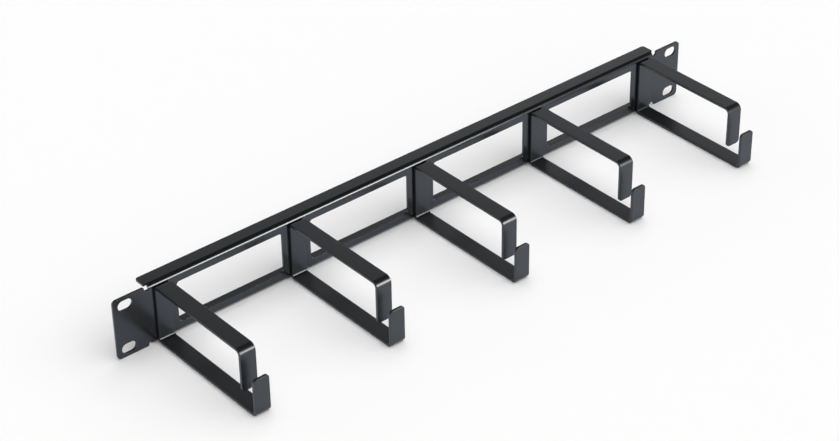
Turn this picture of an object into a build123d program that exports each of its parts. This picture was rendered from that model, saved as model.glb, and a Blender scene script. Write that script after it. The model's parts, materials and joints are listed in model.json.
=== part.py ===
"""Horizontal cable manager, one rack unit high, for a 19 inch rack.

A folded steel panel carries five open rings, each bent from one steel strip and spot welded to the
panel's front. X runs along the panel to the right, Z is up, and the rings reach forward along -Y.
The origin is the middle of the four rack slots, on the rear face of the ears that meets the rails.
"""

import os

from build123d import *

# Panel sheet, in millimetres
panel_width = 482.6
panel_height = 43.6
sheet_thickness = 1.5

# Ears, from the panel's ends in to their shoulders
ear_width = 23.1
ear_corner_radius = 3.0
shoulder_radius = 1.2

# Flanges folded back from the panel's top and bottom edges, ending short of the ears' shoulders
flange_clearance = 1.2
flange_depth = 12.0
flange_corner_radius = 2.0
fold_inner_radius = 1.5

# Relief notch that frees each end of a fold from the ear beside it
relief_width = 3.2
relief_overcut = 0.1

# Rack slots in the ears
slot_end_distance = 8.75
slot_spacing_z = 31.75
slot_length = 10.5
slot_width = 7.0

# Windows between the rings, parted by the ribs that the rings are welded to
window_height = 30.0
window_corner_radius = 2.5
rib_width = 22.0

# Ring strip and its place on the panel
ring_names = ("ring_left_end", "ring_left", "ring_centre", "ring_right", "ring_right_end")
ring_end_margin = 9.0
ring_height = 42.0
strip_width = 11.5
strip_thickness = 2.0

# Ring arms, lip and the mouth that cables are fed in by
upper_arm_reach = 88.0
mouth_gap = 10.0
lip_height = 27.0
corner_bend_radius = 1.5
nose_bend_radius = 2.5
end_corner_radius = 2.5

# Values that follow from the sizes above
front_face_y = -sheet_thickness
panel_top_z = panel_height / 2
panel_bottom_z = -panel_height / 2
half_sheet = sheet_thickness / 2
half_strip = strip_thickness / 2
shoulder_x = panel_width / 2 - ear_width
flange_length = 2 * (shoulder_x - flange_clearance)
fold_length = 2 * (shoulder_x - relief_width)
relief_depth = fold_inner_radius + sheet_thickness + relief_overcut
slot_spacing_x = panel_width - 2 * slot_end_distance
ring_count = len(ring_names)
ring_pitch = (fold_length - 2 * ring_end_margin) / (ring_count - 1)
length_tolerance = strip_thickness / 100


def channel_section():
    """Give the channel's section: the panel face with a flange folded back from its top and bottom."""
    face_y = front_face_y + half_sheet
    rear_y = front_face_y + flange_depth
    top_z = panel_top_z - half_sheet
    bottom_z = panel_bottom_z + half_sheet
    with BuildSketch(Plane.YZ) as section:
        with BuildLine():
            FilletPolyline(
                (rear_y, top_z),
                (face_y, top_z),
                (face_y, bottom_z),
                (rear_y, bottom_z),
                radius=fold_inner_radius + half_sheet,
            )
        trace(line_width=sheet_thickness)
    return section.sketch


def ear_blank():
    """Give both flat ears, with rounded corners and a relief notch beside each fold."""
    relief_x = (fold_length + relief_width) / 2
    with BuildSketch(Plane.XZ) as blank:
        RectangleRounded(panel_width, panel_height, ear_corner_radius)
        Rectangle(fold_length, panel_height, mode=Mode.SUBTRACT)
        with GridLocations(2 * relief_x, panel_height - relief_depth, 2, 2):
            Rectangle(relief_width, relief_depth, mode=Mode.SUBTRACT)
        shoulders = blank.vertices().filter_by(lambda vertex: abs(abs(vertex.X) - shoulder_x) < length_tolerance)
        fillet(shoulders, shoulder_radius)
    return blank.sketch


def fold_reliefs():
    """Give the four blocks cut from the channel where a fold ends short of its flange's end."""
    relief_x = (fold_length + relief_width) / 2
    relief_y = front_face_y + relief_depth / 2
    with BuildPart() as reliefs:
        with Locations((0, relief_y, 0)):
            with GridLocations(2 * relief_x, 0, 2, 1):
                with Locations((0, 0, panel_top_z - relief_depth / 2), (0, 0, panel_bottom_z + relief_depth / 2)):
                    Box(relief_width, relief_depth, relief_depth)
    return reliefs.part


def panel_openings():
    """Give the windows between the rings and the four rack slots."""
    with BuildSketch(Plane.XZ) as openings:
        with GridLocations(ring_pitch, panel_height, ring_count - 1, 1):
            RectangleRounded(ring_pitch - rib_width, window_height, window_corner_radius)
        with GridLocations(slot_spacing_x, slot_spacing_z, 2, 2):
            SlotOverall(slot_length, slot_width)
    return openings.sketch


def make_panel():
    """Build the folded panel as one sheet: channel, ears, windows and slots."""
    with BuildPart() as panel:
        add(extrude(channel_section(), amount=flange_length / 2, both=True))
        flange_corners = panel.edges().filter_by(Axis.Z).group_by(Axis.Y)[-1]
        fillet(flange_corners, flange_corner_radius)
        add(fold_reliefs(), mode=Mode.SUBTRACT)
        add(extrude(ear_blank(), amount=sheet_thickness))
        add(extrude(panel_openings(), amount=sheet_thickness), mode=Mode.SUBTRACT)
    return panel.part


def ring_section():
    """Give a ring's section, from the lip's free end round to the free end above the mouth."""
    back_y = front_face_y - half_strip
    nose_y = front_face_y - upper_arm_reach + half_strip
    lip_y = nose_y - mouth_gap - strip_thickness
    low_z = panel_bottom_z + half_strip
    high_z = panel_bottom_z + ring_height - half_strip
    corner_radius = corner_bend_radius + half_strip
    nose_radius = nose_bend_radius + half_strip
    with BuildSketch(Plane.YZ) as section:
        with BuildLine():
            FilletPolyline(
                (lip_y, panel_bottom_z + lip_height),
                (lip_y, low_z),
                (back_y, low_z),
                (back_y, high_z),
                (nose_y, high_z),
                (nose_y, panel_bottom_z + strip_thickness + mouth_gap),
                radius=(corner_radius, corner_radius, corner_radius, nose_radius),
            )
        trace(line_width=strip_thickness)
    return section.sketch


def make_ring(centre_x):
    """Bend one strip into a ring centred on centre_x, with the corners of its free ends rounded."""
    with BuildPart() as ring:
        add(extrude(ring_section(), amount=strip_width / 2, both=True))
        end_corners = ring.edges().filter_by(Axis.Y).filter_by(
            lambda edge: abs(edge.length - strip_thickness) < length_tolerance
        )
        fillet(end_corners, end_corner_radius)
    return Pos(centre_x, 0, 0) * ring.part


os.makedirs("parts", exist_ok=True)
export_step(make_panel(), "parts/panel.step")
for index, name in enumerate(ring_names):
    ring_x = (index - (ring_count - 1) / 2) * ring_pitch
    export_step(make_ring(ring_x), f"parts/{name}.step")
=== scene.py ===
"""Horizontal cable manager for a 19 inch rack, as photographed: satin black paint on a white floor.

The pieces stand in the frame of the construction file, in metres: X runs along the rack's width, the
panel's front faces -Y and Z is up. Every piece is modelled again here with fine edge roundings, so that
its folds and cut edges catch the light, and takes the place of the node of the same form.
"""
import json
import logging
import math
from dataclasses import dataclass
from enum import Enum
from typing import Callable

import bmesh
import bpy
from mathutils import Matrix, Vector


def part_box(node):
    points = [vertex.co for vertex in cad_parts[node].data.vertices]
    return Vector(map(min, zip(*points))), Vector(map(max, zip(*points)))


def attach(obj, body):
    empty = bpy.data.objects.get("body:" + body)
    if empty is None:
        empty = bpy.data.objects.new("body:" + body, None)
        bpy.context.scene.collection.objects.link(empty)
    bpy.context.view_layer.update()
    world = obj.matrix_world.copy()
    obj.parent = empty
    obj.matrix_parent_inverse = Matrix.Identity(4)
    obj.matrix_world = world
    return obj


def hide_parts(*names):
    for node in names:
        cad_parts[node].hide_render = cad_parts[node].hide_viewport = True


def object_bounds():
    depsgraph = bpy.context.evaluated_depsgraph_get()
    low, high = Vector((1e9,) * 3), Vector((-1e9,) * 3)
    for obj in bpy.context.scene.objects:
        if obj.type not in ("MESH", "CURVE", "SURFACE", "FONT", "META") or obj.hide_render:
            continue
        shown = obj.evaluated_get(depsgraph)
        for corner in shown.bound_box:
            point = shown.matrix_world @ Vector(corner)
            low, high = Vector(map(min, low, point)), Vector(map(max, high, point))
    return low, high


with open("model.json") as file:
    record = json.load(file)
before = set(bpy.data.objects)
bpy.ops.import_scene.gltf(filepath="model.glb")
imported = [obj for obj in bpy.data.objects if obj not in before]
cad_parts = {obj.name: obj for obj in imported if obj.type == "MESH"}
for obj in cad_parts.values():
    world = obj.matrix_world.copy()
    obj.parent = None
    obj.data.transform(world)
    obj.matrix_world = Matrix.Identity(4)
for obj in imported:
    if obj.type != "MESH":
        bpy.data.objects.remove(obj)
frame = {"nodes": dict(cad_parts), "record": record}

LOG = logging.getLogger("cable_manager")
CAD_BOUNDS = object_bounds()
MM = 0.001
QUARTER_TURN = math.radians(90.0)
NEAR = 0.01 * MM
ALIGNED = 0.999

Colour = tuple[float, float, float]
FaceTest = Callable[[bmesh.types.BMFace], bool]
EdgeTest = Callable[[bmesh.types.BMEdge], bool]


class Way(Enum):
    """The directions in which an open end of sheet or strip is drawn out."""

    LEFT = (-1.0, 0.0, 0.0)
    RIGHT = (1.0, 0.0, 0.0)
    FORWARD = (0.0, -1.0, 0.0)
    BACK = (0.0, 1.0, 0.0)
    DOWN = (0.0, 0.0, -1.0)
    UP = (0.0, 0.0, 1.0)

    def by(self, length: float) -> Vector:
        """Give the move of a length this way."""
        return Vector(self.value) * length


class Slot(Enum):
    """The material slots of the frame's record."""

    PANEL = "panel_paint"
    RING = "ring_paint"


@dataclass(frozen=True)
class Box:
    """An upright box of the frame, by its two corners."""

    low: Vector
    high: Vector

    @classmethod
    def of_node(cls, node: str) -> "Box":
        """Read the box of a construction node.

        Args:
            node: Name of the node in the frame.

        Returns:
            The node's box.
        """
        low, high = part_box(node)
        return cls(Vector(low), Vector(high))

    @property
    def size(self) -> Vector:
        """Give the box's three lengths."""
        return self.high - self.low

    @property
    def centre(self) -> Vector:
        """Give the box's middle."""
        return (self.low + self.high) / 2.0


def rest_selection() -> None:
    """Leave edit mode and deselect every object."""
    if bpy.context.mode != "OBJECT":
        bpy.ops.object.mode_set(mode="OBJECT")
    bpy.ops.object.select_all(action="DESELECT")


def only(obj: bpy.types.Object) -> None:
    """Make one object the active and only selected one.

    Args:
        obj: The object to work on.
    """
    rest_selection()
    obj.select_set(True)
    bpy.context.view_layer.objects.active = obj


class MeshWork:
    """Edit-mode work on one mesh: selections by place and the operators run on them."""

    def __init__(self, obj: bpy.types.Object) -> None:
        """Open the mesh of an object for editing.

        Args:
            obj: A mesh object that stands at the origin, unturned and unscaled.
        """
        self.obj = obj
        only(obj)
        bpy.ops.object.mode_set(mode="EDIT")

    @classmethod
    def plate(cls, name: str, centre: Vector, width: float, thickness: float, upright: bool) -> "MeshWork":
        """Start a piece as the flat cross-section of a sheet's open end.

        Args:
            name: Name of the new object.
            centre: Middle of the open end.
            width: Length of the end along X.
            thickness: Thickness of the sheet.
            upright: True for an end that faces along Y, False for one that faces along Z.

        Returns:
            The open mesh, with the end selected.
        """
        rest_selection()
        tilt = (QUARTER_TURN if upright else 0.0, 0.0, 0.0)
        bpy.ops.mesh.primitive_plane_add(size=1.0, location=centre, rotation=tilt)
        return cls._opened(name, Vector((width, thickness, 1.0)))

    @classmethod
    def block(cls, name: str, centre: Vector, size: Vector) -> "MeshWork":
        """Start a piece as a block.

        Args:
            name: Name of the new object.
            centre: Middle of the block.
            size: Its three lengths.

        Returns:
            The open mesh, with the block selected.
        """
        rest_selection()
        bpy.ops.mesh.primitive_cube_add(size=1.0, location=centre)
        return cls._opened(name, size)

    @classmethod
    def _opened(cls, name: str, size: Vector) -> "MeshWork":
        """Scale the primitive just added, set its origin to the frame's and open it.

        Args:
            name: Name of the new object.
            size: Scale of the unit primitive.

        Returns:
            The open mesh.
        """
        obj = bpy.context.active_object
        obj.name = obj.data.name = name
        obj.scale = size
        bpy.ops.object.transform_apply(location=True, rotation=True, scale=True)
        work = cls(obj)
        bpy.ops.mesh.select_mode(type="FACE")
        bpy.ops.mesh.select_all(action="SELECT")
        return work

    def pick_faces(self, test: FaceTest) -> "MeshWork":
        """Select the faces that pass a test and nothing else.

        Args:
            test: Says of a face whether it is wanted.

        Returns:
            This work, for the next step.
        """
        bpy.ops.mesh.select_mode(type="FACE")
        bpy.ops.mesh.select_all(action="DESELECT")
        mesh = bmesh.from_edit_mesh(self.obj.data)
        for face in mesh.faces:
            face.select_set(test(face))
        mesh.select_flush_mode()
        bmesh.update_edit_mesh(self.obj.data)
        return self

    def pick_edges(self, test: EdgeTest) -> "MeshWork":
        """Select the edges that pass a test and nothing else.

        Args:
            test: Says of an edge whether it is wanted.

        Returns:
            This work, for the next step.
        """
        bpy.ops.mesh.select_mode(type="EDGE")
        bpy.ops.mesh.select_all(action="DESELECT")
        mesh = bmesh.from_edit_mesh(self.obj.data)
        for edge in mesh.edges:
            if test(edge):
                edge.select_set(True)
        bmesh.update_edit_mesh(self.obj.data)
        return self

    def draw_out(self, move: Vector) -> "MeshWork":
        """Extrude the selected faces.

        Args:
            move: How far and which way.

        Returns:
            This work, for the next step.
        """
        bpy.ops.mesh.extrude_region_move(TRANSFORM_OT_translate={"value": move})
        return self

    def fold(self, centre: Vector, steps: int) -> "MeshWork":
        """Spin the selected open end a quarter turn about an axis along X, as in a press brake.

        Args:
            centre: A point on the fold's axis.
            steps: Number of flats that make up the fold.

        Returns:
            This work, for the next step.
        """
        bpy.ops.mesh.spin(steps=steps, angle=QUARTER_TURN, center=centre, axis=Way.LEFT.value)
        return self

    def round_edges(self, radius: float, segments: int) -> "MeshWork":
        """Bevel the selected edges to an arc.

        Args:
            radius: Radius of the arc.
            segments: Number of flats in it.

        Returns:
            This work, for the next step.
        """
        bpy.ops.mesh.bevel(offset=radius, offset_type="OFFSET", segments=segments, affect="EDGES")
        return self

    def face_outward(self) -> "MeshWork":
        """Merge doubled points and turn all faces outward.

        Returns:
            This work, for the next step.
        """
        bpy.ops.mesh.select_mode(type="FACE")
        bpy.ops.mesh.select_all(action="SELECT")
        bpy.ops.mesh.remove_doubles(threshold=NEAR)
        bpy.ops.mesh.normals_make_consistent(inside=False)
        bpy.ops.mesh.select_all(action="DESELECT")
        return self

    def close(self) -> bpy.types.Object:
        """Turn all faces outward and leave edit mode.

        Returns:
            The finished object.
        """
        self.face_outward()
        bpy.ops.object.mode_set(mode="OBJECT")
        return self.obj


def runs_along(edge: bmesh.types.BMEdge, way: Way) -> bool:
    """Say whether an edge lies along a direction."""
    line = edge.verts[1].co - edge.verts[0].co
    return line.length > NEAR and abs(line.normalized().dot(Vector(way.value))) > ALIGNED


def faces_to(face: bmesh.types.BMFace, way: Way) -> bool:
    """Say whether a face looks in a direction."""
    return face.normal.dot(Vector(way.value)) > ALIGNED


def middle(edge: bmesh.types.BMEdge) -> Vector:
    """Give the middle of an edge."""
    return (edge.verts[0].co + edge.verts[1].co) / 2.0


@dataclass(frozen=True)
class EdgeDress:
    """The fine rounding that stamping and paint leave on cut edges."""

    width: float = 0.35 * MM
    segments: int = 3
    sharp_angle: float = math.radians(38.0)
    rounding_mask_angle: float = math.radians(12.0)
    flat_weight: int = 100
    # Mask of the rounding: the paint colours it a little lighter, partly for a thinner coat and partly as a
    # painted highlight
    rounding_mask: str = "edge_coat_and_highlight_mask"

    def put_on(self, obj: bpy.types.Object) -> None:
        """Round the sharp edges of a piece, mark the rounding and shade the flats flat.

        Args:
            obj: The piece to dress.
        """
        only(obj)
        rounding = obj.modifiers.new("edge_rounding", "BEVEL")
        rounding.width = self.width
        rounding.segments = self.segments
        rounding.limit_method = "ANGLE"
        rounding.angle_limit = self.sharp_angle
        rounding.use_clamp_overlap = True
        bpy.ops.object.modifier_apply(modifier=rounding.name)
        bpy.ops.object.shade_smooth()
        weighting = obj.modifiers.new("flat_faces", "WEIGHTED_NORMAL")
        weighting.mode = "FACE_AREA"
        weighting.weight = self.flat_weight
        bpy.ops.object.modifier_apply(modifier=weighting.name)
        self._mark(obj)

    def _mark(self, obj: bpy.types.Object) -> None:
        """Write the mask of the rounding: 1 on the points within it, 0 elsewhere. The paint colours these
        points a little lighter, for a thinner coat and as a painted highlight.

        Args:
            obj: The piece whose rounding is marked.
        """
        mesh = obj.data
        limit = 2.0 * self.width / self.segments
        rounding_mask = [0.0] * len(mesh.vertices)
        for edge in mesh.edges:
            first, second = (mesh.vertices[i] for i in edge.vertices)
            bend = first.normal.angle(second.normal, 0.0)
            if (first.co - second.co).length < limit and bend > self.rounding_mask_angle:
                rounding_mask[first.index] = rounding_mask[second.index] = 1.0
        layer = mesh.attributes.new(self.rounding_mask, "FLOAT", "POINT")
        layer.data.foreach_set("value", rounding_mask)


@dataclass
class Ring:
    """One open cable ring, bent four times from a flat strip; the mouth is at its lower front corner."""

    node: str
    thickness: float = 2.0 * MM
    bend_radius: float = 1.5 * MM
    nose_radius: float = 2.5 * MM
    lip_height: float = 27.0 * MM
    mouth_gap: float = 10.0 * MM
    end_corner: float = 2.5 * MM
    fold_steps: int = 8
    corner_steps: int = 6
    edges: EdgeDress = EdgeDress()

    def __post_init__(self) -> None:
        """Read the ring's place from the frame."""
        self.box = Box.of_node(self.node)

    @property
    def half(self) -> float:
        """Give half the strip's thickness."""
        return self.thickness / 2.0

    def build(self) -> bpy.types.Object:
        """Bend the strip round from the lip to the end of the front leg.

        Returns:
            The modelled ring, with fine edges.
        """
        low, high, middle_x = self.box.low, self.box.high, self.box.centre.x
        outer, nose_outer = self.bend_radius + self.thickness, self.nose_radius + self.thickness
        lip_top = low.z + self.lip_height
        leg_end = low.z + self.thickness + self.mouth_gap
        nose_y = low.y + self.thickness + self.mouth_gap

        work = MeshWork.plate(self.node + "_strip", Vector((middle_x, low.y + self.half, lip_top)),
                              self.box.size.x, self.thickness, upright=False)
        work.draw_out(Way.DOWN.by(self.lip_height - outer))
        work.fold(Vector((middle_x, low.y + outer, low.z + outer)), self.fold_steps)
        work.draw_out(Way.BACK.by(self.box.size.y - 2.0 * outer))
        work.fold(Vector((middle_x, high.y - outer, low.z + outer)), self.fold_steps)
        work.draw_out(Way.UP.by(self.box.size.z - 2.0 * outer))
        work.fold(Vector((middle_x, high.y - outer, high.z - outer)), self.fold_steps)
        work.draw_out(Way.FORWARD.by(high.y - outer - nose_y - nose_outer))
        work.fold(Vector((middle_x, nose_y + nose_outer, high.z - nose_outer)), self.fold_steps)
        work.draw_out(Way.DOWN.by(high.z - nose_outer - leg_end))

        def at_free_end(edge: bmesh.types.BMEdge) -> bool:
            """Say whether an edge is a corner of one of the strip's two free ends."""
            height = middle(edge).z
            return runs_along(edge, Way.BACK) and (
                abs(height - lip_top) < NEAR or
                (abs(height - leg_end) < NEAR and middle(edge).y < nose_y + self.thickness))

        work.pick_edges(at_free_end).round_edges(self.end_corner, self.corner_steps)
        ring = work.close()
        self.edges.put_on(ring)
        return ring

    def copy_of(self, pattern: bpy.types.Object, pattern_box: Box) -> bpy.types.Object:
        """Set a copy of an already modelled ring in this ring's place.

        Args:
            pattern: The ring to copy.
            pattern_box: That ring's box in the frame.

        Returns:
            The copy, with a mesh of its own, standing at the origin.
        """
        only(pattern)
        bpy.ops.object.duplicate(linked=False)
        ring = bpy.context.active_object
        ring.name = ring.data.name = self.node + "_strip"
        bpy.ops.transform.translate(value=self.box.centre - pattern_box.centre)
        bpy.ops.object.transform_apply(location=True, rotation=False, scale=False)
        return ring

    def install(self, ring: bpy.types.Object, paint: bpy.types.Material) -> None:
        """Paint the ring and put it in the place of its construction node.

        Args:
            ring: The modelled ring.
            paint: The ring's finish.
        """
        ring.data.materials.clear()
        ring.data.materials.append(paint)
        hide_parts(self.node)
        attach(ring, "root")
        LOG.info("%s: %d faces", ring.name, len(ring.data.polygons))


@dataclass
class Panel:
    """The folded panel: face, two flanges, two slotted ears and four windows in one sheet."""

    ring_nodes: tuple[str, ...]
    node: str = "panel"
    sheet: float = 1.5 * MM
    fold_radius: float = 1.5 * MM
    flange_clearance: float = 1.2 * MM
    flange_corner: float = 2.0 * MM
    relief_width: float = 3.2 * MM
    relief_overcut: float = 0.1 * MM
    ear_width: float = 23.1 * MM
    ear_corner: float = 3.0 * MM
    shoulder_corner: float = 1.2 * MM
    window_height: float = 30.0 * MM
    window_corner: float = 2.5 * MM
    rib_width: float = 22.0 * MM
    punch_sheets: float = 6.0
    slot_end_share: float = 0.499
    fold_steps: int = 8
    corner_steps: int = 6
    slot_steps: int = 14
    edges: EdgeDress = EdgeDress(width=0.45 * MM)

    def __post_init__(self) -> None:
        """Read the panel's place, the rings' pitch and the rack slots from the frame."""
        self.box = Box.of_node(self.node)
        centres = [Box.of_node(node).centre.x for node in self.ring_nodes]
        self.pitch = (centres[-1] - centres[0]) / (len(centres) - 1)
        self.window_centres = [(a + b) / 2.0 for a, b in zip(centres, centres[1:])]
        mounts = {mount["name"]: mount for mount in frame["record"]["mounts"]}
        pattern = mounts["rack_ears"]["dims"]
        self.slot_spacing = Vector((pattern["spacing_x_mm"], 0.0, pattern["spacing_y_mm"])) * MM
        self.slot_size = Vector((pattern["slot_length_mm"], 0.0, 2.0 * pattern["hole_r_mm"])) * MM
        self.shoulder_x = self.box.high.x - self.ear_width
        self.fold_end_x = self.shoulder_x - self.relief_width
        self.flange_end_x = self.shoulder_x - self.flange_clearance
        self.fold_outer = self.fold_radius + self.sheet
        self.notch_z = self.box.high.z - self.fold_outer - self.relief_overcut

    def build(self) -> bpy.types.Object:
        """Fold the channel, draw out the flanges and ears and cut the openings.

        Returns:
            The modelled panel, with fine edges.
        """
        work = self._channel()
        for way in (Way.LEFT, Way.RIGHT):
            self._flange_ends(work, way)
            self._ear(work, way)
        self._round_corners(work)
        panel = work.close()
        window_size = Vector((self.pitch - self.rib_width, 0.0, self.window_height))
        for centre_x in self.window_centres:
            place = Vector((centre_x, self.box.low.y, 0.0))
            self._cut(panel, self._cutter(place, window_size, self.window_corner, self.corner_steps))
        slot_end = self.slot_end_share * self.slot_size.z
        for side in (-0.5, 0.5):
            for level in (-0.5, 0.5):
                place = Vector((side * self.slot_spacing.x, self.box.low.y, level * self.slot_spacing.z))
                self._cut(panel, self._cutter(place, self.slot_size, slot_end, self.slot_steps))
        self.edges.put_on(panel)
        return panel

    def _channel(self) -> MeshWork:
        """Fold the sheet from the top flange's rear edge round to the bottom flange's.

        Returns:
            The open mesh of the channel.
        """
        low, high, outer = self.box.low, self.box.high, self.fold_outer
        clear = outer + self.relief_overcut
        work = MeshWork.plate("panel_sheet", Vector((0.0, high.y, high.z - self.sheet / 2.0)),
                              2.0 * self.fold_end_x, self.sheet, upright=True)
        work.draw_out(Way.FORWARD.by(self.box.size.y - clear))
        work.draw_out(Way.FORWARD.by(self.relief_overcut))
        work.fold(Vector((0.0, low.y + outer, high.z - outer)), self.fold_steps)
        work.draw_out(Way.DOWN.by(self.relief_overcut))
        work.draw_out(Way.DOWN.by(self.box.size.z - 2.0 * clear))
        work.draw_out(Way.DOWN.by(self.relief_overcut))
        work.fold(Vector((0.0, low.y + outer, low.z + outer)), self.fold_steps)
        work.draw_out(Way.BACK.by(self.relief_overcut))
        work.draw_out(Way.BACK.by(self.box.size.y - clear))
        return work.face_outward()

    def _flange_ends(self, work: MeshWork, way: Way) -> None:
        """Draw the flat of both flanges out past the end of their folds, over the relief notches.

        Args:
            work: The open mesh of the panel.
            way: The side of the ends.
        """
        clear_y = self.box.low.y + self.fold_outer + self.relief_overcut
        work.pick_faces(lambda face: faces_to(face, way) and face.calc_center_median().y > clear_y)
        work.draw_out(way.by(self.flange_end_x - self.fold_end_x))

    def _ear(self, work: MeshWork, way: Way) -> None:
        """Draw one ear out of the face's end: the neck beside the relief notches, then the full-height ear.

        Args:
            work: The open mesh of the panel.
            way: The side of the ear.
        """
        sign = way.value[0]
        work.pick_faces(lambda face: faces_to(face, way) and
                        abs(face.calc_center_median().z) < self.fold_outer and
                        abs(face.calc_center_median().x * sign - self.fold_end_x) < NEAR and
                        face.calc_center_median().y < 0.0)
        work.draw_out(way.by(self.relief_width))
        work.draw_out(way.by(self.ear_width))
        for level in (Way.UP, Way.DOWN):
            work.pick_faces(lambda face, level=level: faces_to(face, level) and
                            face.calc_center_median().x * sign > self.shoulder_x)
            work.draw_out(level.by(self.box.high.z - self.notch_z))

    def _round_corners(self, work: MeshWork) -> None:
        """Round the ears' outer corners and shoulders and the flanges' rear corners.

        Args:
            work: The open mesh of the panel.
        """
        half_x, half_z, rear = self.box.high.x, self.box.high.z, self.box.high.y

        def across_sheet(edge: bmesh.types.BMEdge, x: float, *heights: float) -> bool:
            """Say whether an edge runs through the sheet at this x and one of these heights."""
            place = middle(edge)
            return (runs_along(edge, Way.BACK) and abs(abs(place.x) - x) < NEAR and
                    any(abs(abs(place.z) - height) < NEAR for height in heights))

        work.pick_edges(lambda edge: across_sheet(edge, half_x, half_z))
        work.round_edges(self.ear_corner, self.corner_steps)
        work.pick_edges(lambda edge: across_sheet(edge, self.shoulder_x, half_z, self.notch_z))
        work.round_edges(self.shoulder_corner, self.corner_steps)
        work.pick_edges(lambda edge: runs_along(edge, Way.UP) and abs(middle(edge).y - rear) < NEAR and
                        abs(abs(middle(edge).x) - self.flange_end_x) < NEAR)
        work.round_edges(self.flange_corner, self.corner_steps)

    def _cutter(self, centre: Vector, size: Vector, corner: float, steps: int) -> bpy.types.Object:
        """Make a punch: a block with its four edges along Y rounded.

        Args:
            centre: Middle of the opening on the panel's front.
            size: Width and height of the opening, in x and z.
            corner: Radius of its corners.
            steps: Number of flats in each corner.

        Returns:
            The punch.
        """
        depth = self.punch_sheets * self.sheet
        work = MeshWork.block("punch", centre, Vector((size.x, depth, size.z)))
        work.pick_edges(lambda edge: runs_along(edge, Way.BACK)).round_edges(corner, steps)
        return work.close()

    def _cut(self, panel: bpy.types.Object, punch: bpy.types.Object) -> None:
        """Punch one opening and throw the punch away.

        Args:
            panel: The panel to cut.
            punch: The block to cut it with.
        """
        only(panel)
        cut = panel.modifiers.new("opening", "BOOLEAN")
        cut.operation = "DIFFERENCE"
        cut.solver = "EXACT"
        cut.object = punch
        bpy.ops.object.modifier_apply(modifier=cut.name)
        only(punch)
        bpy.ops.object.delete()

    def install(self, panel: bpy.types.Object, paint: bpy.types.Material) -> None:
        """Paint the panel and put it in the place of its construction node.

        Args:
            panel: The modelled panel.
            paint: The panel's finish.
        """
        panel.data.materials.clear()
        panel.data.materials.append(paint)
        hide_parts(self.node)
        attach(panel, "root")
        LOG.info("%s: %d faces", panel.name, len(panel.data.polygons))


@dataclass(frozen=True)
class CoatTexture:
    """The surface of baked powder paint, shared by both finishes as one node group."""

    name: str = "coat_texture"
    peel_scale: float = 620.0
    peel_detail: float = 1.5
    grain_scale: float = 5200.0
    grain_detail: float = 2.0
    mottle_scale: float = 34.0
    mottle_detail: float = 3.0
    grain_share: float = 0.35

    def group(self) -> bpy.types.ShaderNodeTree:
        """Build the group once and give it back.

        Returns:
            A node group with the outputs Height and Mottle.
        """
        found = bpy.data.node_groups.get(self.name)
        if found is not None:
            return found
        tree = bpy.data.node_groups.new(self.name, "ShaderNodeTree")
        tree.interface.new_socket("Vector", in_out="INPUT", socket_type="NodeSocketVector")
        for label in ("Height", "Mottle"):
            tree.interface.new_socket(label, in_out="OUTPUT", socket_type="NodeSocketFloat")
        entry, leave = tree.nodes.new("NodeGroupInput"), tree.nodes.new("NodeGroupOutput")
        peel = self._noise(tree, entry, self.peel_scale, self.peel_detail)
        grain = self._noise(tree, entry, self.grain_scale, self.grain_detail)
        mottle = self._noise(tree, entry, self.mottle_scale, self.mottle_detail)
        height = tree.nodes.new("ShaderNodeMath")
        height.operation = "MULTIPLY_ADD"
        height.inputs[1].default_value = self.grain_share
        tree.links.new(grain, height.inputs[0])
        tree.links.new(peel, height.inputs[2])
        tree.links.new(height.outputs[0], leave.inputs["Height"])
        tree.links.new(mottle, leave.inputs["Mottle"])
        return tree

    def _noise(self, tree: bpy.types.ShaderNodeTree, entry: bpy.types.Node, scale: float,
               detail: float) -> bpy.types.NodeSocket:
        """Add one noise to the group.

        Args:
            tree: The group.
            entry: Its input node.
            scale: Waves per metre.
            detail: Octaves on top of the first.

        Returns:
            The noise's value.
        """
        noise = tree.nodes.new("ShaderNodeTexNoise")
        noise.inputs["Scale"].default_value = scale
        noise.inputs["Detail"].default_value = detail
        tree.links.new(entry.outputs["Vector"], noise.inputs["Vector"])
        return noise.outputs["Fac"]


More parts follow.
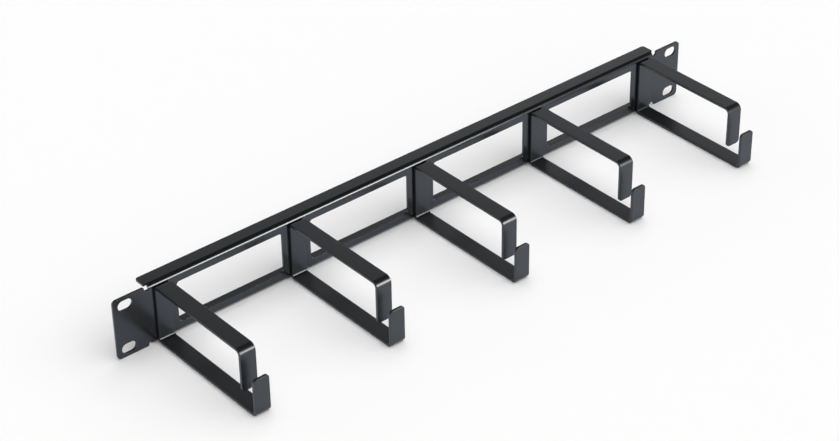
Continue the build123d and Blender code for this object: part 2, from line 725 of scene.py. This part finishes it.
@dataclass(frozen=True)
class SatinPaint:
    """Satin black powder paint: dark and a little mottled. Its rounded edges are coloured a little lighter,
    partly for the thinner coat there and partly as a painted highlight.
    """

    name: str
    low_colour: Colour
    high_colour: Colour
    roughness: tuple[float, float]
    edge_roughness: float
    # Colour of the rounded edges: a little lighter than the body, partly for the thinner coat there and
    # partly as a painted highlight
    edge_coat_and_highlight_colour: Colour = (0.007, 0.0072, 0.0078)
    peel_height: float = 0.0015 * MM
    refraction: float = 1.67
    shine_colour: Colour = (0.72, 0.83, 1.0)
    texture: CoatTexture = CoatTexture()
    edges: EdgeDress = EdgeDress()

    def material(self) -> bpy.types.Material:
        """Build the paint's material.

        Returns:
            The material.
        """
        made = bpy.data.materials.new(self.name)
        made.use_nodes = True
        tree = made.node_tree
        paint = tree.nodes["Principled BSDF"]
        paint.inputs["IOR"].default_value = self.refraction
        paint.inputs["Specular Tint"].default_value = (*self.shine_colour, 1.0)
        place = tree.nodes.new("ShaderNodeTexCoord")
        coat = tree.nodes.new("ShaderNodeGroup")
        coat.node_tree = self.texture.group()
        tree.links.new(place.outputs["Object"], coat.inputs["Vector"])
        rounding_mask = tree.nodes.new("ShaderNodeAttribute")
        rounding_mask.attribute_name = self.edges.rounding_mask

        tone = self._mix(tree, "RGBA", self.low_colour, self.high_colour, coat.outputs["Mottle"])
        # Rounded edges take the lighter edge colour: partly the thinner coat, partly a painted highlight
        edge_coat_and_painted_highlight = self._mix(tree, "RGBA", tone, self.edge_coat_and_highlight_colour, rounding_mask.outputs["Fac"])
        tree.links.new(edge_coat_and_painted_highlight, paint.inputs["Base Color"])
        gloss = self._mix(tree, "FLOAT", self.roughness[0], self.roughness[1], coat.outputs["Mottle"])
        shine = self._mix(tree, "FLOAT", gloss, self.edge_roughness, rounding_mask.outputs["Fac"])
        tree.links.new(shine, paint.inputs["Roughness"])
        relief = tree.nodes.new("ShaderNodeBump")
        relief.inputs["Distance"].default_value = self.peel_height
        tree.links.new(coat.outputs["Height"], relief.inputs["Height"])
        tree.links.new(relief.outputs["Normal"], paint.inputs["Normal"])
        return made

    def _mix(self, tree: bpy.types.ShaderNodeTree, kind: str, first: object, second: object,
             share: bpy.types.NodeSocket) -> bpy.types.NodeSocket:
        """Mix two colours or two numbers, each given as a socket or a constant.

        Args:
            tree: The material's nodes.
            kind: RGBA for colours, FLOAT for numbers.
            first: What a share of 0 gives.
            second: What a share of 1 gives.
            share: The socket that mixes them.

        Returns:
            The mixed socket.
        """
        node = tree.nodes.new("ShaderNodeMix")
        node.data_type = kind
        sockets = [s for s in node.inputs if s.enabled]
        tree.links.new(share, sockets[0])
        for socket, value in zip(sockets[1:], (first, second)):
            if isinstance(value, bpy.types.NodeSocket):
                tree.links.new(value, socket)
            else:
                socket.default_value = (*value, 1.0) if kind == "RGBA" else value
        return next(s for s in node.outputs if s.enabled)


@dataclass(frozen=True)
class Lamp:
    """A soft lamp far away that lights the floor and leaves no spot in the paint."""

    name: str
    azimuth: float
    elevation: float
    spread: float
    strength: float
    colour: Colour

    def put_up(self) -> bpy.types.Object:
        """Set up the lamp.

        Returns:
            The lamp.
        """
        data = bpy.data.lights.new(self.name, "SUN")
        data.energy = self.strength
        data.angle = math.radians(self.spread)
        data.color = self.colour
        lamp = bpy.data.objects.new(self.name, data)
        bpy.context.scene.collection.objects.link(lamp)
        turn, rise = math.radians(self.azimuth), math.radians(self.elevation)
        level = math.cos(rise)
        towards = Vector((math.sin(turn) * level, -math.cos(turn) * level, math.sin(rise)))
        lamp.rotation_euler = towards.to_track_quat("Z", "Y").to_euler()
        lamp.visible_glossy = False
        return lamp


@dataclass(frozen=True)
class StripLight:
    """A softbox near the object, seen only as a highlight in the paint, so that the floor stays even."""

    name: str
    place: tuple[float, float, float]
    aim: tuple[float, float, float]
    size: tuple[float, float]
    power: float
    colour: Colour

    def put_up(self) -> bpy.types.Object:
        """Set up the lamp.

        Returns:
            The lamp.
        """
        data = bpy.data.lights.new(self.name, "AREA")
        data.shape = "RECTANGLE"
        data.size, data.size_y = self.size
        data.energy = self.power
        data.color = self.colour
        lamp = bpy.data.objects.new(self.name, data)
        bpy.context.scene.collection.objects.link(lamp)
        lamp.location = self.place
        lamp.rotation_euler = (Vector(self.place) - Vector(self.aim)).to_track_quat("Z", "Y").to_euler()
        lamp.visible_diffuse = False
        return lamp


@dataclass(frozen=True)
class Studio:
    """The white floor, the room's light and the lamps: pale walls low down, a dark ceiling above."""

    floor_size: float = 14.0
    floor_colour: Colour = (0.92, 0.92, 0.92)
    wall_colour: Colour = (0.73, 0.7, 0.675)
    ceiling_colour: Colour = (0.01, 0.01, 0.011)
    wall_top: float = 0.42
    ceiling_edge: float = 0.7
    lamps: tuple[Lamp | StripLight, ...] = (
        Lamp("overhead_softbox", azimuth=60.0, elevation=70.0, spread=90.0, strength=2.86,
             colour=(0.985, 0.99, 1.0)),
        StripLight("front_softbox", place=(0.37, -0.85, 0.29), aim=(-0.05, 0.0, 0.0), size=(0.44, 0.36),
                   power=9.0, colour=(1.0, 0.91, 0.74)),
    )

    def build(self) -> None:
        """Lay the floor and put up the lights."""
        self._floor()
        self._room()
        for lamp in self.lamps:
            lamp.put_up()

    def _floor(self) -> None:
        """Lay the floor under the object."""
        rest_selection()
        bpy.ops.mesh.primitive_plane_add(size=self.floor_size, location=(0.0, 0.0, CAD_BOUNDS[0].z))
        floor = bpy.context.active_object
        floor.name = floor.data.name = "floor"
        paper = bpy.data.materials.new("white_paper")
        paper.use_nodes = True
        tree = paper.node_tree
        sheet = tree.nodes["Principled BSDF"]
        sheet.inputs["Base Color"].default_value = (*self.floor_colour, 1.0)
        sheet.inputs["Roughness"].default_value = 1.0
        sheet.inputs["Specular IOR Level"].default_value = 0.0
        floor.data.materials.append(paper)

    def _room(self) -> None:
        """Light the room from its pale walls, with a dark ceiling."""
        world = bpy.data.worlds.new("room")
        world.use_nodes = True
        tree = world.node_tree
        light = tree.nodes["Background"]
        light.inputs["Strength"].default_value = 1.0
        direction = tree.nodes.new("ShaderNodeTexCoord")
        axes = tree.nodes.new("ShaderNodeSeparateXYZ")
        tree.links.new(direction.outputs["Generated"], axes.inputs["Vector"])
        height = tree.nodes.new("ShaderNodeMapRange")
        height.interpolation_type = "SMOOTHSTEP"
        height.inputs["From Min"].default_value = self.wall_top
        height.inputs["From Max"].default_value = self.ceiling_edge
        tree.links.new(axes.outputs["Z"], height.inputs["Value"])
        colour = tree.nodes.new("ShaderNodeMix")
        colour.data_type = "RGBA"
        factor, low, high = [s for s in colour.inputs if s.enabled]
        low.default_value = (*self.wall_colour, 1.0)
        high.default_value = (*self.ceiling_colour, 1.0)
        tree.links.new(height.outputs["Result"], factor)
        tree.links.new(next(s for s in colour.outputs if s.enabled), light.inputs["Color"])
        bpy.context.scene.world = world


@dataclass(frozen=True)
class PhotoCamera:
    """The camera of the photograph: from the left, above the front."""

    azimuth: float = 39.77
    elevation: float = 33.62
    roll: float = -0.91
    distance: float = 1.4978
    target: tuple[float, float, float] = (-0.00803, -0.0101, -0.01767)
    lens: float = 97.35
    sensor: float = 36.0
    far_limit: float = 50.0

    def set_up(self) -> bpy.types.Object:
        """Place the camera and make it the scene's.

        Returns:
            The camera.
        """
        yaw, rise, roll = (math.radians(a) for a in (self.azimuth, self.elevation, self.roll))
        ahead = Vector((math.sin(yaw) * math.cos(rise), math.cos(yaw) * math.cos(rise), -math.sin(rise)))
        level = Vector((math.cos(yaw), -math.sin(yaw), 0.0))
        raised = level.cross(ahead)
        right = math.cos(roll) * level + math.sin(roll) * raised
        up = -math.sin(roll) * level + math.cos(roll) * raised
        data = bpy.data.cameras.new("photo_camera")
        data.lens = self.lens
        data.sensor_width = self.sensor
        data.clip_end = self.far_limit
        camera = bpy.data.objects.new("photo_camera", data)
        bpy.context.scene.collection.objects.link(camera)
        turn = Matrix((right, up, -ahead)).transposed().to_4x4()
        camera.matrix_world = Matrix.Translation(Vector(self.target) - self.distance * ahead) @ turn
        bpy.context.scene.camera = camera
        return camera


PANEL_PAINT = SatinPaint(
    "satin_black_panel",
    low_colour=(0.0036, 0.0038, 0.0043),
    high_colour=(0.005, 0.0053, 0.006),
    roughness=(0.17, 0.21),
    edge_roughness=0.2,
)
RING_PAINT = SatinPaint(
    "satin_black_ring",
    low_colour=(0.0038, 0.0039, 0.0043),
    high_colour=(0.0052, 0.0054, 0.006),
    roughness=(0.3, 0.34),
    edge_roughness=0.3,
)


def ring_nodes() -> tuple[str, ...]:
    """List the ring nodes from left to right.

    Returns:
        The names of the nodes that are rings.
    """
    names = [name for name in frame["nodes"] if name.startswith("ring")]
    return tuple(sorted(names, key=lambda name: Box.of_node(name).centre.x))


def main() -> None:
    """Build, dress and light the cable manager."""
    logging.basicConfig(level=logging.INFO, format="%(name)s: %(message)s")
    bpy.context.scene.view_settings.view_transform = "Standard"
    nodes = ring_nodes()
    panel = Panel(nodes)
    panel.install(panel.build(), PANEL_PAINT.material())
    ring_paint = RING_PAINT.material()
    first = Ring(nodes[0])
    pattern = first.build()
    copies = [(ring, ring.copy_of(pattern, first.box)) for ring in map(Ring, nodes[1:])]
    for ring, made in [(first, pattern), *copies]:
        ring.install(made, ring_paint)
    Studio().build()
    PhotoCamera().set_up()


if __name__ == "__main__":
    main()
